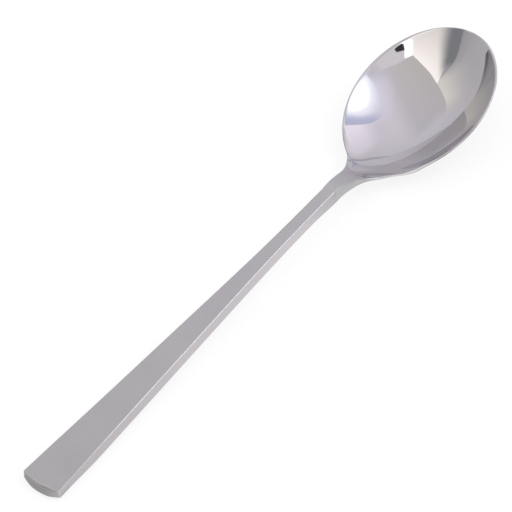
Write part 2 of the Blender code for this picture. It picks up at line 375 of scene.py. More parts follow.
for tray, net in ((upper, upper_net), (lower, lower_net)):
    make_active(tray)
    fill_column(tray, net, 0)
    fill_column(tray, net, -1)
    choose(tray, net[0] + net[-1])
    bpy.ops.mesh.edge_face_add()
    turn_out(tray)
    apply_modifier(tray, "WEIGHTED_NORMAL", weight=80, keep_sharp=True)
    lay_down(tray)
    print(tray.name, "has", len(tray.data.polygons), "faces")

# %% [markdown]
# ## The bowl
# The bowl, its rim and the neck are one pressing. A mirror finish shows every unevenness, so the form has to be
# smooth in its curvature as well. A sphere could be cut and pulled to a spoon, but its poles would show. A bent grid
# has none: its rows run across the spoon, and their sizes follow smooth curves along it.

# %% Sizes of the neck and bowl
NECK_START = HANDLE_LENGTH
DIP_LENGTH = 21.0 * MM
NECK_DIP = 6.2 * MM
RIM_RUN_OUT = 7.0 * MM
FLARE_WIDTH = 10.0 * MM
FLARE_PLACE = 16.9 * MM
FLARE_EASE = 4.0 * MM
FLARE_POWER = 6.0
CREASE = NECK_START + 11.2 * MM
CREASE_BOW = 4.5 * MM
CREASE_END = CREASE + CREASE_BOW
BOWL_LENGTH = 55.4 * MM
BOWL_WIDTH = 43.6 * MM
BOWL_DEPTH = 10.2 * MM
BOWL_START = NECK_START + 18.3 * MM
BOWL_CENTRE = BOWL_START + BOWL_LENGTH / 2
BOWL_TIP = BOWL_CENTRE + BOWL_LENGTH / 2
BOWL_WALL = 1.2 * MM
BOWL_PITCH = math.radians(12.7)
RIM_LOWEST = NECK_START + DIP_LENGTH
RIM_RISE = 0.1 * MM  # height of the rim above the handle's top, at the middle of the bowl
RIM_LAND = 0.5 * MM
RIM_EDGE = 0.7 * MM
print("bowl reaches from", round(CREASE / MM, 1), "to", round(BOWL_TIP / MM, 1), "mm")


# %% Outline of the neck and bowl
def rim_plane(x):
    return RIM_RISE + math.tan(BOWL_PITCH) * (x - BOWL_CENTRE)


def rim_height(x):
    """Height of the neck's top and of the rim: a dip, then the pitched plane of the rim."""
    dip = -NECK_DIP * ease((x - NECK_START) / DIP_LENGTH)
    return mix(dip, rim_plane(x), ease((x - RIM_LOWEST) / RIM_RUN_OUT))


def half_width(x, inset):
    """Half of the width of neck and bowl at x, inside an inset: the oval with the neck's flare blended in."""
    along = (x - BOWL_CENTRE) / (BOWL_LENGTH / 2 - inset)
    oval = (BOWL_WIDTH / 2 - inset) * math.sqrt(max(0.0, 1.0 - along**2))
    start = 1.0 / (1.0 + math.exp(FLARE_PLACE / FLARE_EASE))
    wide = 1.0 / (1.0 + math.exp((FLARE_PLACE + NECK_START - x) / FLARE_EASE))
    fade = 1.0 - ease((x - RIM_LOWEST) / (BOWL_CENTRE - RIM_LOWEST))
    neck = max(0.0, (NECK_WIDTH / 2 + FLARE_WIDTH * (wide - start)) * fade - inset)
    return (oval**FLARE_POWER + neck**FLARE_POWER) ** (1.0 / FLARE_POWER)


print("bowl is", round(half_width(BOWL_CENTRE, 0.0) * 2 / MM, 2), "mm wide")

# %% [markdown]
# Along the middle line the neck's top goes over into the floor of the hollow with a crisp crease. The floor is a
# quartic curve: its height and slope are set at the crease and at the tip, and its depth in the middle.

# %% Curves along the middle line
CREASE_SLOPE = -0.7
TIP_SLOPE = 1.25


def floor_curve(x, lift):
    """Height of the floor between its ends, with a lift in the middle."""
    end = BOWL_TIP - RIM_LAND
    span = end - CREASE
    t = (x - CREASE) / span
    level = mix(rim_height(CREASE), rim_height(end), t * t * (3.0 - 2.0 * t))
    slopes = span * t * (1.0 - t) * (CREASE_SLOPE * (1.0 - t) - TIP_SLOPE * t)
    return level + slopes + lift * (t * (1.0 - t)) ** 2


def floor_height(x):
    """Height of the top on the middle line: the neck's top, then the floor of the hollow."""
    if x <= CREASE:
        return rim_height(x)
    centre = (BOWL_CENTRE - CREASE) / (BOWL_TIP - RIM_LAND - CREASE)
    miss = rim_plane(BOWL_CENTRE) - BOWL_DEPTH - floor_curve(BOWL_CENTRE, 0.0)
    return floor_curve(x, miss / (centre * (1.0 - centre)) ** 2)


print("floor is", round((rim_plane(BOWL_CENTRE) - floor_height(BOWL_CENTRE)) / MM, 2), "mm below the rim")

# %% [markdown]
# Inside and outside are laid row by row. Their wire is a shallow arch turned over: the ends stay, and the middle goes
# back by one and down by one, so that a resize gives a row its bow, its half width and its depth.

# %% Places and sizes of the rows
NECK_ROWS = 12
BOWL_ROWS = 44
TIP_ANGLE = math.radians(4.0)
LAND_SHARE = 0.6  # of the land's width at the tip, for the rest of the rim


def stations(inset):
    """Places of the rows, which lie closer together near the crease and the tip."""
    neck = [mix(NECK_START, CREASE_END, step / NECK_ROWS) for step in range(NECK_ROWS)]
    turns = [(math.pi - TIP_ANGLE) * step / BOWL_ROWS for step in range(BOWL_ROWS + 1)]
    return neck + [mix(CREASE_END, BOWL_TIP - inset, (1.0 - math.cos(turn)) / 2) for turn in turns]


def row_bow(x):
    """How far the middle of a row lies behind its ends: fullest at the crease, which is a curve across the neck."""
    if x < CREASE_END:
        return CREASE_BOW * ease((x - NECK_START) / (CREASE_END - NECK_START))
    return CREASE_BOW * (1.0 - ease((x - CREASE_END) / (BOWL_CENTRE - CREASE_END)))


def land_width(x):
    """Width of the land between the hollow and the outer edge, which is a little wider at the tip."""
    return RIM_LAND * mix(LAND_SHARE, 1.0, ease((x - BOWL_CENTRE) / (BOWL_TIP - BOWL_CENTRE)))


print("rows of a surface:", len(stations(0.0)))

# %% How a row is laid
COLUMNS = 32
SIDE_FULLNESS = 0.05


def arch(column, y):
    return (y**2 - 1.0, 0.0, mix(y**2, y**4, SIDE_FULLNESS) - 1.0)


def lay_row(piece, place, row, x, half, bow, edge, middle):
    """Resizes a row to its bow, half width and depth, and moves it to its place."""
    choose(piece, row)
    bpy.ops.transform.resize(value=(bow, half, edge - middle), center_override=(place, 0.0, 0.0))
    bpy.ops.transform.translate(value=(x - place, 0.0, edge))


print("corners of a row:", COLUMNS + 1)

# %% [markdown]
# The top is laid first. A crease on one row keeps the edge crisp where the hollow starts. An attribute notes which
# faces lie on the top, before and behind the crease, because the mirror finish will start there.

# %% Lay the top of the neck with the hollow
NECK_TOP, HOLLOW = 1, 2  # faces elsewhere have 0

hollow, top_places, top_net = bent_grid("bowl_hollow", NECK_ROWS + BOWL_ROWS + 1, COLUMNS + 1, arch)
top_rows = stations(RIM_LAND)
for place, row, x in zip(top_places, top_net, top_rows):
    bow = row_bow(x)
    lay_row(hollow, place, row, x, half_width(x, land_width(x)), bow, rim_height(x), floor_height(x - bow))
crease_row = set(top_net[NECK_ROWS])
pick(hollow, "EDGE", lambda edge: crease_row.issuperset(edge.vertices))
bpy.ops.transform.edge_crease(value=1.0)
bpy.ops.object.mode_set(mode="OBJECT")
top = hollow.data.attributes.new("top", "FLOAT", "FACE")
neck_corners = {corner for row in top_net[: NECK_ROWS + 1] for corner in row}
for face in hollow.data.polygons:
    top.data[face.index].value = NECK_TOP if neck_corners.issuperset(face.vertices) else HOLLOW
print("hollow is", [round(v / MM, 1) for v in hollow.dimensions], "mm")

# %% [markdown]
# Next to the crease the same arch would be too steep at its ends, and the mirror there would see the opposite flank
# instead of the room. The flanks of the throat are filled a little, most between the middle and the edge. No operator
# moves each corner by its own amount, so this is done on the coordinates.

# %% Fill the flanks of the throat
THROAT_FILL = 0.6
THROAT_START = 2.0 * MM
THROAT_LENGTH = 12.0 * MM

for row, x in zip(top_net, top_rows):
    fill = THROAT_FILL * ease((x - CREASE_END) / THROAT_START)
    fill *= 1.0 - ease((x - CREASE_END - THROAT_START) / THROAT_LENGTH)
    depth = rim_height(x) - floor_height(x - row_bow(x))
    for corner in row:
        place = hollow.data.vertices[corner].co
        across = (place.y / half_width(x, land_width(x))) ** 2
        place.z += fill * depth * across * (1.0 - across)
print("flanks are filled over", round((THROAT_START + THROAT_LENGTH) / MM, 1), "mm")

# %% [markdown]
# The outside of the bowl and the underside of the neck are laid in the same way, with straight rows. At the weld the
# neck has the same section as the handle, and from there its lower edges get rounder.

# %% Lay the underside
UPRIGHT_SHARES = (0.95, 0.85)  # of the thickness, at the weld and further on
UPRIGHT_LENGTH = 6.0 * MM
THIN_START = NECK_START + 3.0 * MM
THIN_LENGTH = 13.0 * MM


def thinned(x):
    """How far the neck has thinned down to the sheet of the bowl, from 0 to 1."""
    return ease((x - THIN_START) / THIN_LENGTH)


def side_height(x):
    """Height of the neck's upright side, and of the rim's outer edge."""
    upright = mix(*UPRIGHT_SHARES, ease((x - NECK_START) / UPRIGHT_LENGTH))
    return mix(THICKNESS * upright, RIM_EDGE, thinned(x))


def side_lean(x):
    return mix(SIDE_DRAFT + NECK_SWELL, 0.0, thinned(x))


bowl, under_places, under_net = bent_grid("bowl_mirror", NECK_ROWS + BOWL_ROWS + 1, COLUMNS + 1, arch)
under_rows = stations(0.0)
for place, row, x in zip(under_places, under_net, under_rows):
    edge = rim_height(x) - side_height(x)
    middle = min(edge, floor_height(x) - mix(THICKNESS, BOWL_WALL, thinned(x)))
    if x == under_rows[-1]:
        middle = edge
    lay_row(bowl, place, row, x, half_width(x, 0.0) + side_lean(x), 0.0, edge, middle)
bpy.ops.object.mode_set(mode="OBJECT")
print("outside is", [round(v / MM, 1) for v in bowl.dimensions], "mm")

# %% [markdown]
# The edge of the underside is pulled up in two steps. The first loop lies just below the upper edge and decides how
# round that edge becomes under subdivision: as round as the handle's at the weld, and fine from there on. The rim's
# land falls a little to the outside, because polishing takes most from the outer edge. That slope catches the light.

# %% Edges of the neck and the rim
TINY = 0.01 * MM
SOFT_EDGE = 0.45 * MM
FINE_EDGE = 0.12 * MM
SOFT_LENGTH = 2.5 * MM
RIM_FALL = 0.36 * MM
FALL_START = NECK_START + 12.0 * MM
FALL_LENGTH = 8.0 * MM


def edge_softness(x):
    """Distance of the supporting loop below the upper edge."""
    return mix(SOFT_EDGE, FINE_EDGE, ease((x - NECK_START) / SOFT_LENGTH))


def land_fall(x):
    """How far the outer edge of the rim's land lies below its inner edge."""
    return RIM_FALL * land_width(x) / RIM_LAND * ease((x - FALL_START) / FALL_LENGTH)


def open_edges(piece):
    """Keys of the open edges of a surface, without those across the weld."""
    count = {}
    for face in piece.data.polygons:
        for key in face.edge_keys:
            count[key] = count.get(key, 0) + 1
    at_weld = {v.index for v in piece.data.vertices if v.co.x < NECK_START + TINY}
    return {key for key, faces in count.items() if faces == 1 and not at_weld.issuperset(key)}


print("land falls by", round(land_fall(BOWL_TIP) / MM, 2), "mm at the tip")

# %% Pull up the sides of the neck and the rim
rim = open_edges(bowl)
pick(bowl, "EDGE", lambda edge: edge.key in rim)
for loop in ("support", "edge"):
    bpy.ops.object.mode_set(mode="OBJECT")
    start = len(bowl.data.vertices)
    bpy.ops.object.mode_set(mode="EDIT")
    bpy.ops.mesh.extrude_edges_move(TRANSFORM_OT_translate={"value": (0.0, 0.0, RIM_EDGE)})
    bpy.ops.object.mode_set(mode="OBJECT")
    pulled = {number: [] for number in range(len(under_rows))}
    for corner in bowl.data.vertices[start:]:
        pulled[min(pulled, key=lambda number: abs(under_rows[number] - corner.co.x))].append(corner.index)
    for number, x in enumerate(under_rows):
        below = edge_softness(x) if loop == "support" else 0.0
        lean = side_lean(x) * below / side_height(x)
        before = side_lean(x) if loop == "support" else side_lean(x) * edge_softness(x) / side_height(x)
        share = (half_width(x, 0.0) + lean) / (half_width(x, 0.0) + before)
        level = rim_height(x) - land_fall(x) - below
        choose(bowl, pulled[number])
        bpy.ops.transform.resize(value=(1.0, share, 0.0), center_override=(x, 0.0, level))
    if loop == "support":
        raised = {corner for corners in pulled.values() for corner in corners}
        pick(bowl, "EDGE", lambda edge: raised.issuperset(edge.vertices))
bpy.ops.object.mode_set(mode="OBJECT")
print("rim has", len(rim), "edges")

# %% [markdown]
# The inside and the outside of a spoon meet in the narrow land of its rim. The two surfaces are joined, and their open
# edges run side by side. Single faces could fill the gap, but a bridge makes all of them at once.

# %% Join the surfaces with the rim
DOUBLES = 0.001 * MM

make_active(bowl)
hollow.select_set(True)
bpy.ops.object.join()
rim = open_edges(bowl)
pick(bowl, "EDGE", lambda edge: edge.key in rim)
bpy.ops.mesh.bridge_edge_loops()
bpy.ops.mesh.select_all(action="SELECT")
bpy.ops.mesh.remove_doubles(threshold=DOUBLES)
bpy.ops.mesh.normals_make_consistent(inside=False)
bpy.ops.object.mode_set(mode="OBJECT")
print("bowl has", len(bowl.data.polygons), "faces before subdivision")

# %% [markdown]
# The mirror finish stops at the crease on top, and runs out on the sides and underneath. Two materials would meet at a
# hard line everywhere, so one material reads from a second attribute how far each face is polished.

# %% Mark the polish
polish = bowl.data.attributes.new("polish", "FLOAT", "CORNER")
top = bowl.data.attributes["top"]
for face in bowl.data.polygons:
    kind = round(top.data[face.index].value)
    for loop in face.loop_indices:
        x = bowl.data.vertices[bowl.data.loops[loop].vertex_index].co.x
        run_out = ease((x - CREASE) / CREASE_BOW)
        polish.data[loop].value = {NECK_TOP: 0.0, HOLLOW: 1.0}.get(kind, run_out)
bowl.data.attributes.remove(top)
print("corners with the full polish:", sum(item.value == 1.0 for item in polish.data))

# %% [markdown]
# The neck stays open while the bowl is subdivided, so that its end isn't rounded. It is then filled and drawn out to
# the tang that sits between the shells of the handle.

# %% Subdivide the bowl, draw out its tang and lay it down
TANG_LENGTH = 20.0 * MM
TANG_CHAMFER = 0.5 * MM
# length and section of each step, compared with the step before
TANG_STEPS = ((0.0, (1.0, 0.5, 0.45)), (TANG_LENGTH, (1.0, 1.0, 1.0)), (TANG_CHAMFER, (1.0, 0.7, 0.6)))

apply_modifier(bowl, "SUBSURF", levels=2, render_levels=2)
pick(bowl, "VERT", lambda corner: corner.co.x < NECK_START + TINY)
bpy.ops.mesh.edge_face_add()
for length, section in TANG_STEPS:
    bpy.ops.mesh.extrude_region_move(TRANSFORM_OT_translate={"value": (-length, 0.0, 0.0)})
    bpy.ops.transform.resize(value=section, center_override=(0.0, 0.0, SEAM))
turn_out(bowl)
lay_down(bowl)
print("bowl has", len(bowl.data.polygons), "faces")

# %% [markdown]
# ## Steel
# Polished steel is a mirror, so most of its look comes from what stands around it. Its own part is small: a faint
# waviness from polishing, hairlines, and a little unevenness in its gloss and tint. These are in one node group that
# both finishes use with their own values.


# %% Nodes by name
def new_node(tree, kind, **inputs):
    """Adds a node and sets the inputs that are named, with _ for a blank."""
    node = tree.nodes.new(kind)
    for name, value in inputs.items():
        node.inputs[name.replace("_", " ")].default_value = value
    return node


def product(tree, first, second):
    """Adds a node that multiplies two sockets, and returns its result."""
    node = new_node(tree, "ShaderNodeMath")
    node.operation = "MULTIPLY"
    tree.links.new(first, node.inputs[0])
    tree.links.new(second, node.inputs[1])
    return node.outputs["Value"]


print("nodes are ready")

# %% Node group for the marks of polishing
MARK_INPUTS = {"Along": 30.0, "Across": 3000.0, "Gloss Low": 0.05, "Gloss High": 0.1}
CLOUD_SCALE = 60.0

marks = bpy.data.node_groups.new("polishing_marks", "ShaderNodeTree")
for name, value in MARK_INPUTS.items():
    socket = marks.interface.new_socket(name=name, in_out="INPUT", socket_type="NodeSocketFloat")
    socket.default_value = value
for name in ("Roughness", "Height", "Tint"):
    marks.interface.new_socket(name=name, in_out="OUTPUT", socket_type="NodeSocketFloat")
inside = new_node(marks, "NodeGroupInput")
outside = new_node(marks, "NodeGroupOutput")
place = new_node(marks, "ShaderNodeTexCoord")
stretch = new_node(marks, "ShaderNodeCombineXYZ")
for socket, axis in (("Along", "X"), ("Across", "Y"), ("Across", "Z")):
    marks.links.new(inside.outputs[socket], stretch.inputs[axis])
scaled = new_node(marks, "ShaderNodeVectorMath")
scaled.operation = "MULTIPLY"
marks.links.new(place.outputs["Object"], scaled.inputs[0])
marks.links.new(stretch.outputs["Vector"], scaled.inputs[1])
hairlines = new_node(marks, "ShaderNodeTexNoise", Scale=1.0, Detail=3.0, Roughness=0.6)
marks.links.new(scaled.outputs["Vector"], hairlines.inputs["Vector"])
clouds = new_node(marks, "ShaderNodeTexNoise", Scale=CLOUD_SCALE, Detail=2.0)
marks.links.new(place.outputs["Object"], clouds.inputs["Vector"])
gloss = new_node(marks, "ShaderNodeMapRange", From_Min=0.1, From_Max=0.45)
both = product(marks, hairlines.outputs["Fac"], clouds.outputs["Fac"])
marks.links.new(both, gloss.inputs["Value"])
marks.links.new(inside.outputs["Gloss Low"], gloss.inputs["To Min"])
marks.links.new(inside.outputs["Gloss High"], gloss.inputs["To Max"])
marks.links.new(gloss.outputs["Result"], outside.inputs["Roughness"])
marks.links.new(hairlines.outputs["Fac"], outside.inputs["Height"])
marks.links.new(clouds.outputs["Fac"], outside.inputs["Tint"])
print("node group has", len(marks.nodes), "nodes")

# %% [markdown]
# The handle has only the satin finish. On the bowl's pressing the satin of the neck, which is a little softer, runs out
# at the crease, where the mirror of the hollow starts. So that material has both and mixes them by the attribute.


# %% How a finish is added
def finish(tree, values):
    """Adds the marks of polishing with a finish's values. Returns its colour, roughness and height."""
    group = new_node(tree, "ShaderNodeGroup")
    group.node_tree = marks
    for socket in MARK_INPUTS:
        group.inputs[socket].default_value = values[socket]
    tint = new_node(tree, "ShaderNodeMix")
    tint.data_type = "RGBA"
    tint.inputs["A"].default_value = (*values["dark"], 1.0)
    tint.inputs["B"].default_value = (*values["light"], 1.0)
    tree.links.new(group.outputs["Tint"], tint.inputs["Factor"])
    return tint.outputs["Result"], group.outputs["Roughness"], group.outputs["Height"]


print("a finish sets", list(MARK_INPUTS))

# %% The two steels
SATIN = {"dark": (0.51, 0.512, 0.50), "light": (0.56, 0.562, 0.55), "Along": 40.0, "Across": 4000.0,
         "Gloss Low": 0.22, "Gloss High": 0.29}
NECK_SATIN = {**SATIN, "Gloss Low": 0.26, "Gloss High": 0.33}
MIRROR = {"dark": (0.61, 0.605, 0.61), "light": (0.64, 0.635, 0.64), "Along": 60.0, "Across": 60.0,
          "Gloss Low": 0.03, "Gloss High": 0.05}
HAIRLINE_DEPTH = 0.002 * MM
HAIRLINE_STRENGTH = 0.2


def steel(name, finishes):
    """A steel with one finish, or with two that are mixed by the attribute."""
    material = bpy.data.materials.new(name)
    material.use_nodes = True
    tree = material.node_tree
    shader = tree.nodes["Principled BSDF"]
    shader.inputs["Metallic"].default_value = 1.0
    sockets = finish(tree, finishes[0])
    if len(finishes) > 1:
        share = new_node(tree, "ShaderNodeAttribute")
        share.attribute_name = "polish"
        mixed = []
        for kind, first, second in zip(("RGBA", "FLOAT", "FLOAT"), sockets, finish(tree, finishes[1])):
            blend = new_node(tree, "ShaderNodeMix")
            blend.data_type = kind
            ends = [socket for socket in blend.inputs if socket.name in ("A", "B") and socket.enabled]
            tree.links.new(share.outputs["Fac"], blend.inputs["Factor"])
            tree.links.new(first, ends[0])
            tree.links.new(second, ends[1])
            mixed.append(next(socket for socket in blend.outputs if socket.enabled))
        sockets = mixed
    tree.links.new(sockets[0], shader.inputs["Base Color"])
    tree.links.new(sockets[1], shader.inputs["Roughness"])
    bump = new_node(tree, "ShaderNodeBump", Strength=HAIRLINE_STRENGTH, Distance=HAIRLINE_DEPTH)
    tree.links.new(sockets[2], bump.inputs["Height"])
    tree.links.new(bump.outputs["Normal"], shader.inputs["Normal"])
    return material


satin = steel("satin_steel", (SATIN,))
polished = steel("polished_steel", (NECK_SATIN, MIRROR))
for piece, material in ((bowl, polished), (upper, satin), (lower, satin)):
    piece.data.materials.clear()
    piece.data.materials.append(material)
print("finishes:", satin.name, polished.name)

# %% [markdown]
# ## Floor, light and what the mirror sees
# The floor is white paper and so is the world behind it. More light would make them white too, but would also wash out
# the spoon. So camera and mirror see both near white whatever their light, and the lit part of the floor keeps the
# spoon's soft shadow.


# %% What is seen directly
def seen_directly(tree):
    """A mask that is 1 for rays from the camera, a mirror or glass, and 0 for light that falls on things."""
    path = new_node(tree, "ShaderNodeLightPath")
    mask = path.outputs["Is Camera Ray"]
    for ray in ("Is Glossy Ray", "Is Transmission Ray"):
        either = new_node(tree, "ShaderNodeMath")
        either.operation = "MAXIMUM"
        tree.links.new(mask, either.inputs[0])
        tree.links.new(path.outputs[ray], either.inputs[1])
        mask = either.outputs["Value"]
    return mask


print("camera and mirror can be told from light")

# %% Floor
FLOOR_SIZE = 8.0
FLOOR_GLOW = 0.8
PAPER_WHITE = (0.93, 0.93, 0.93, 1.0)
PAPER_ROUGHNESS = 0.9

bpy.ops.object.select_all(action="DESELECT")
bpy.ops.mesh.primitive_plane_add(size=FLOOR_SIZE)
floor = bpy.context.object
floor.name = "floor"
paper = bpy.data.materials.new("white_paper")
paper.use_nodes = True
tree = paper.node_tree
sheet = tree.nodes["Principled BSDF"]
sheet.inputs["Base Color"].default_value = PAPER_WHITE
sheet.inputs["Roughness"].default_value = PAPER_ROUGHNESS
glow = new_node(tree, "ShaderNodeEmission", Strength=1.0)
share = new_node(tree, "ShaderNodeMath")
share.operation = "MULTIPLY"
share.inputs[1].default_value = FLOOR_GLOW
tree.links.new(seen_directly(tree), share.inputs[0])
blend = new_node(tree, "ShaderNodeMixShader")
tree.links.new(share.outputs["Value"], blend.inputs["Fac"])
tree.links.new(sheet.outputs["BSDF"], blend.inputs[1])
tree.links.new(glow.outputs["Emission"], blend.inputs[2])
tree.links.new(blend.outputs["Shader"], tree.nodes["Material Output"].inputs["Surface"])
floor.data.materials.append(paper)
print("floor is", FLOOR_SIZE, "m wide")

# %% World
WORLD_LIGHT = 0.97

world = bpy.data.worlds.new("white_room")
bpy.context.scene.world = world
world.use_nodes = True
tree = world.node_tree
level = new_node(tree, "ShaderNodeMapRange", To_Min=WORLD_LIGHT, To_Max=1.0)
tree.links.new(seen_directly(tree), level.inputs["Value"])
tree.links.new(level.outputs["Result"], tree.nodes["Background"].inputs["Strength"])
tree.nodes["Background"].inputs["Color"].default_value = (1.0, 1.0, 1.0, 1.0)
print("world gives light of", WORLD_LIGHT)

# %% [markdown]
# The daylight comes from a window on the right. A large lamp gives such soft light, and small lamps would give hard
# shadows. Reflections don't see the lamp, because a card takes its place there.

# %% Lamp
LAMP_SIZE = 0.9
LAMP_POWER = 6.0
LAMP_PLACE = (0.5, -0.8, 1.2)

lamp = bpy.data.objects.new("window_lamp", bpy.data.lights.new("window_lamp", "AREA"))
bpy.context.collection.objects.link(lamp)
lamp.data.size = LAMP_SIZE
lamp.data.energy = LAMP_POWER
lamp.location = LAMP_PLACE
lamp.rotation_euler = (-lamp.location).to_track_quat("-Z", "Y").to_euler()
lamp.visible_glossy = False
print("lamp stands at", [round(v, 2) for v in lamp.location])

# %% [markdown]
# A polished bowl shows the room, bent by its hollow. A picture of a room could be wrapped round the scene, but glowing
# cards can be shaped until the mirror image is right. A card has a colour at each of its corners, and each of its four
# sides can fade out. Only reflections see the cards: they give no light or shadow and stay out of the picture.

# %% How a card fades and mixes its colours
NO_FADE = 1e-4


def fade_mask(tree, along, across, soft):
    """A mask that fades out over these shares of the card's length and width, at its start and end."""
    mask = None
    for place, (start, end) in zip((along, across), soft):
        for edge, inner in ((0.0, max(start, NO_FADE)), (1.0, 1.0 - max(end, NO_FADE))):
            ramp = new_node(tree, "ShaderNodeMapRange", From_Min=edge, From_Max=inner)
            ramp.interpolation_type = "SMOOTHSTEP"
            tree.links.new(place, ramp.inputs["Value"])
            fade = ramp.outputs["Result"]
            mask = fade if mask is None else product(tree, mask, fade)
    return mask


def colour_mix(tree, share, ends):
    """A mix of two colours or colour sockets."""
    node = new_node(tree, "ShaderNodeMix")
    node.data_type = "RGBA"
    tree.links.new(share, node.inputs["Factor"])
    for name, end in zip("AB", ends):
        if isinstance(end, tuple):
            node.inputs[name].default_value = (*end, 1.0)
        else:
            tree.links.new(end, node.inputs[name])
    return node.outputs["Result"]


print("cards can fade")


# %% How a card glows
def light_up(panel, colours, soft):
    """Makes a panel glow and lets only reflections see it. Four colours are for the corners, two for the edges."""
    panel.visible_camera = False
    panel.visible_diffuse = False
    panel.visible_shadow = False
    material = bpy.data.materials.new(panel.name)
    material.use_nodes = True
    tree = material.node_tree
    tree.nodes.remove(tree.nodes["Principled BSDF"])
    place = new_node(tree, "ShaderNodeTexCoord")
    split = new_node(tree, "ShaderNodeSeparateXYZ")
    tree.links.new(place.outputs["UV"], split.inputs["Vector"])
    along, across = split.outputs["X"], split.outputs["Y"]
    if len(colours) == 4:
        colours = [colour_mix(tree, along, colours[:2]), colour_mix(tree, along, colours[2:])]
    glow = new_node(tree, "ShaderNodeEmission")
    tree.links.new(colour_mix(tree, across, (colours[0], colours[-1])), glow.inputs["Color"])
    clear = new_node(tree, "ShaderNodeBsdfTransparent")
    blend = new_node(tree, "ShaderNodeMixShader")
    tree.links.new(fade_mask(tree, along, across, soft), blend.inputs["Fac"])
    tree.links.new(clear.outputs["BSDF"], blend.inputs[1])
    tree.links.new(glow.outputs["Emission"], blend.inputs[2])
    tree.links.new(blend.outputs["Shader"], tree.nodes["Material Output"].inputs["Surface"])
    panel.data.materials.append(material)
    return panel


print("cards can glow")

# %% [markdown]
# Each card is a strip between two edges. What the mirror shows depends only on the direction in which a thing is seen
# from the bowl. So an edge is a row of directions, in degrees from straight up, towards +x and towards +y. A grid is
# bent to the strip. No operator moves each corner to its own place, so this is done on the coordinates.

# %% Directions and smooth edges
STEPS = 6


def direction(p, q):
    tilt = math.radians(math.hypot(p, q))
    turn = math.atan2(q, p)
    return Vector((math.sin(tilt) * math.cos(turn), math.sin(tilt) * math.sin(turn), math.cos(tilt)))


def smooth(edge):
    """A smooth curve through the directions of an edge."""
    knots = [Vector(knot) for knot in (edge[0], *edge, edge[-1])]
    curve = []
    for before, start, end, after in zip(knots, knots[1:], knots[2:], knots[3:]):
        curve += interpolate_bezier(start, start + (end - before) / 6, end - (after - start) / 6, end, STEPS + 1)[:-1]
    return curve + knots[-1:]


print("straight up is", tuple(direction(0.0, 0.0)))

# %% How a card is shaped
BOWL_MIDDLE = Vector((72.0 * MM, 0.0, 8.0 * MM))
SHARP = ((0.0, 0.0), (0.0, 0.0))


def card(name, distance, first, second, colours, soft=SHARP):
    """A strip between two edges of as many directions, at one distance from the bowl."""
    first, second = smooth(first), smooth(second)
    bpy.ops.object.select_all(action="DESELECT")
    bpy.ops.mesh.primitive_grid_add(x_subdivisions=len(first) - 1, y_subdivisions=STEPS, size=2.0)
    panel = bpy.context.object
    panel.name = name
    rows = [[start.lerp(end, step / STEPS) for start, end in zip(first, second)] for step in range(STEPS + 1)]
    for corner, (p, q) in zip(panel.data.vertices, [place for row in rows for place in row]):
        corner.co = BOWL_MIDDLE + distance * direction(p, q)
    return light_up(panel, colours, soft)


print("cards can be made")

# %% [markdown]
# Most of the mirror image is ceiling and walls. Their cards follow the lines that a plain room has: the edge of the
# ceiling, an upright corner, the top of a low wall. Each card stands a little nearer than the one before and covers it.


# %% Level edges
def ring(tilt, turns):
    """Directions at one angle from straight up."""
    return [(tilt * math.cos(math.radians(turn)), tilt * math.sin(math.radians(turn))) for turn in turns]


def lowered(edge, tilt):
    """The same edge, brought down to one angle from straight up."""
    return [(p * tilt / math.hypot(p, q), q * tilt / math.hypot(p, q)) for p, q in edge]


print("a level edge:", [(round(p), round(q)) for p, q in ring(90.0, (0, 90, 180))])

# %% Ceiling and walls
TURNS = range(0, 361, 15)
LEDGE_TURNS = (112, 105, 98, 90, 82)
WALL_TOP = [(-26, 77), (-4, 79), (11, 76), (23, 68), (28, 58), (35, 48), (43, 37), (54, 22)]
CEILING_EDGE = [(-26, -32), (-26, -19), (-24, -3), (-18, 14), (-10, 29), (-1, 41), (10, 51)]
CEILING_END = [(4, -46), (12, -32), (20, -16), (26, 2), (30, 18), (34, 30), (38, 40)]
CORNER_EDGE = [(-26, -32), (-18, -37), (-10, -40), (-3, -43), (2, -44), (9, -45)]

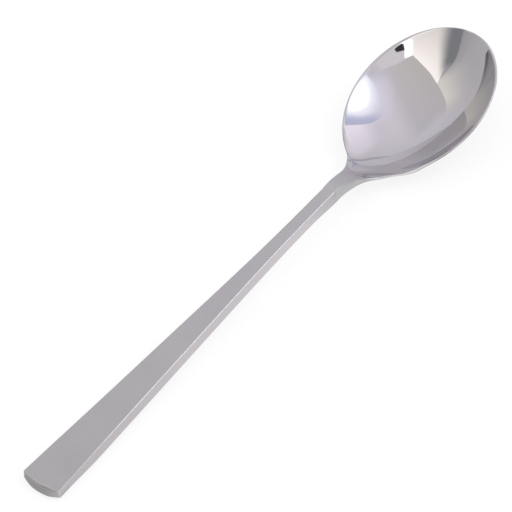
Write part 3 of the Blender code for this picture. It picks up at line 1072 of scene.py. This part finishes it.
walls = [
    card("room", 9.0, [(0.0, 0.0)] * len(TURNS), ring(97.0, TURNS), ((1.00, 0.94, 1.04), (0.62, 0.60, 0.65))),
    card("right_wall", 3.4, [(-70, 18), (-50, 20), (-36, 20), (-24, 12), (-14, 16), (-4, 30), (8, 42), (22, 50)],
         [(-92, 36), (-80, 54), (-68, 70), (-52, 82), (-36, 90), (-18, 95), (4, 97), (26, 93)],
         ((0.40, 0.39, 0.41), (0.80, 0.76, 0.78), (0.66, 0.65, 0.67), (0.58, 0.56, 0.58)), ((0.0, 0.25), (0.0, 0.0))),
    card("wall_light", 3.3, [(-28, 8), (-18, 14), (-9, 29), (0, 41), (12, 52)],
         [(-50, 44), (-34, 58), (-18, 66), (-3, 72), (14, 74)], ((1.02, 0.97, 0.90), (0.80, 0.76, 0.78)),
         ((0.25, 0.4), (0.0, 1.0))),
    card("low_wall", 3.2, WALL_TOP, lowered(WALL_TOP, 100.0),
         ((0.29, 0.28, 0.30), (0.76, 0.72, 0.80), (0.40, 0.39, 0.41), (0.76, 0.72, 0.80)), ((0.0, 0.15), (0.0, 0.0))),
    card("wall_ledge", 3.1, ring(77.2, LEDGE_TURNS), ring(82.0, LEDGE_TURNS),
         ((0.13, 0.13, 0.14), (0.34, 0.33, 0.35)) * 2, ((0.08, 0.6), (0.1, 0.4))),
    card("ceiling", 3.0, CEILING_EDGE, CEILING_END,
         ((0.73, 0.70, 0.66), (0.68, 0.65, 0.69), (0.82, 0.77, 0.82), (0.70, 0.675, 0.75)), ((0.0, 0.2), (0.0, 0.4))),
    card("left_wall", 2.9, CORNER_EDGE, [(-50, -62), (-38, -70), (-24, -76), (-8, -80), (4, -80), (14, -78)],
         ((0.92, 0.885, 0.92),), ((0.0, 0.3), (0.0, 0.0))),
    card("warm_wall", 2.8, CEILING_EDGE[:4], [(-60, -62), (-82, -42), (-92, -10), (-75, 8)],
         ((1.54, 1.44, 1.38), (0.55, 0.53, 0.52))),
]
print("ceiling and walls:", [item.name for item in walls])

# %% [markdown]
# Bright and dark shapes give a polish its life. The window is three strips, one in the other, from haze over glow to
# glass, because daylight spills round it. The others have crisper edges.

# %% Window, openings and small things
WINDOW_FAR = [(55, -38), (51, -42), (46, -46), (41, -50), (36, -53), (30, -56), (24, -58), (17, -59)]

openings = [
    card("pale_curtain", 2.75, [(30, -18), (44, -25), (66, -33), (92, -48)], [(32, 8), (48, 14), (70, 17), (92, 22)],
         ((1.28, 1.19, 1.32), (0.86, 0.81, 0.91)), ((0.35, 0.0), (0.05, 0.25))),
    card("window_haze", 2.7, [(38, 4), (26, 2), (15, -3), (6, -12), (-2, -26), (-5, -42)],
         [(50, -36), (42, -34), (34, -34), (27, -36), (21, -43), (17, -52)], ((1.10, 1.05, 1.24),),
         ((0.3, 0.2), (0.95, 0.0))),
    card("window_glow", 2.65, [(60, -29), (52, -26), (44, -23), (34, -19), (25, -18), (17, -24), (13, -35), (13, -50)],
         WINDOW_FAR, ((1.50, 1.53, 1.66),), ((0.1, 0.1), (0.5, 0.15))),
    card("window", 2.6, [(53, -38), (48, -35), (42, -31.5), (33, -28.5), (26, -28.5), (20, -35), (18, -43), (18, -54)],
         WINDOW_FAR, ((3.3, 3.35, 3.4),), ((0.1, 0.1), (0.5, 0.15))),
    card("window_frame", 2.5, [(66, -28), (56, -24.5), (45, -21), (35, -15.5), (27, -13), (21, -14)],
         [(68, -40), (58, -37.5), (47, -34), (37, -29), (29, -25), (22, -24)], ((0.66, 0.68, 0.88), (0.84, 0.87, 1.2)),
         ((0.15, 0.35), (0.1, 0.6))),
    card("white_strip", 2.55, [(-37, -56), (-28, -46), (-19, -37)], [(-46, -50), (-36, -39), (-27, -31)],
         ((1.9, 1.87, 1.87),), ((0.0, 0.0), (0.0, 0.3))),
    card("dark_spot", 2.4, [(-16, -49), (-21, -48.5), (-26, -45.5)], [(-16.5, -45.5), (-20, -43), (-23.5, -40.5)],
         ((0.05, 0.05, 0.06),), ((0.15, 0.05), (0.15, 0.15))),
    card("doorway", 2.5, [(-80, 22), (-64, 23), (-50, 25), (-40, 25), (-31, 19), (-19, 15.5)],
         [(-80, -26), (-62, -20), (-49, -15), (-38, -5), (-29, 3), (-19, 13)],
         ((0.29, 0.30, 0.32),), ((0.0, 0.4), (0.04, 0.65))),
    card("shelf", 2.45, [(44, 34), (54, 20.5), (66, 14.5), (90, 11)], [(47, 37), (57, 24), (69, 18.5), (92, 15)],
         ((0.50, 0.48, 0.55),), ((0.3, 0.3), (0.4, 0.4))),
]
print("window and openings:", [item.name for item in openings])

# %% [markdown]
# The end and the side of the handle and the outside of the bowl look down at the floor next to them. There the mirror
# would show white paper. Glowing grey sheets, which only reflections see, are painted shade in its place: the floor's
# shadow beside the butt and the bowl, and a floor a little darker or lighter beside the handle's side and neck.

# %% Mats around the spoon
# Glow of the sheets of painted shade, seen only in reflections: the floor's shadow next to the butt and the bowl, and
# painted shade and light on the floor beside the handle's side and neck (values above 1 are lighter than paper).
BUTT_PAINTED_SHADE = (0.52, 0.51, 0.525)
SIDE_PAINTED_SHADE_AND_LIGHT = ((0.90, 0.85, 0.90), (1.10, 1.04, 1.11))  # at the butt and at the neck
NECK_PAINTED_SHADE = (0.82, 0.79, 0.86)
BOWL_PAINTED_SHADE = (0.32, 0.315, 0.32)
SHADE_SHEET_HEIGHT = 0.05 * MM


# Lays a glowing sheet of painted shade just above the floor, which only reflections see.
def lay_painted_shade(name, size, place, colours, soft):
    bpy.ops.object.select_all(action="DESELECT")
    bpy.ops.mesh.primitive_grid_add(x_subdivisions=1, y_subdivisions=1, size=size, location=(*place, SHADE_SHEET_HEIGHT))
    shade_sheet = bpy.context.object
    shade_sheet.name = name
    return light_up(shade_sheet, colours, soft)


# These sheets are painted shadow and shade in the mirror, not real mats: the camera doesn't see them.
painted_shades = [
    lay_painted_shade("butt_painted_shade", 0.3, (-0.2502, 0.136), (BUTT_PAINTED_SHADE,), ((0.05, 0.005), (0.05, 0.1))),
    lay_painted_shade("side_painted_shade", 0.12, (-0.04, -0.061), SIDE_PAINTED_SHADE_AND_LIGHT * 2, ((0.01, 0.0), (0.1, 0.0))),
    lay_painted_shade("neck_painted_shade", 0.026, (0.033, -0.014), (SIDE_PAINTED_SHADE_AND_LIGHT[1], NECK_PAINTED_SHADE) * 2, ((0.0, 0.1), (0.1, 0.0))),
    lay_painted_shade("front_painted_shade", 0.1, (0.097, -0.062), (BOWL_PAINTED_SHADE,), ((0.1, 0.1), (0.1, 0.03))),
    lay_painted_shade("bowl_painted_shade", 0.4, (0.268, -0.15), (BOWL_PAINTED_SHADE,), ((0.03, 0.2), (0.2, 0.1))),
]
print("mats:", [item.name for item in painted_shades])

# %% [markdown]
# ## Ride and replace
# Every piece rides on the only body and stands for its CAD node, whose solid is hidden.

# %% Ride on the frame
for piece, node, slot in (
    (bowl, "bowl", "polished_steel"),
    (upper, "handle_upper_shell", "satin_steel"),
    (lower, "handle_lower_shell", "satin_steel"),
):
    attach(piece, "root")
    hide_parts(node)
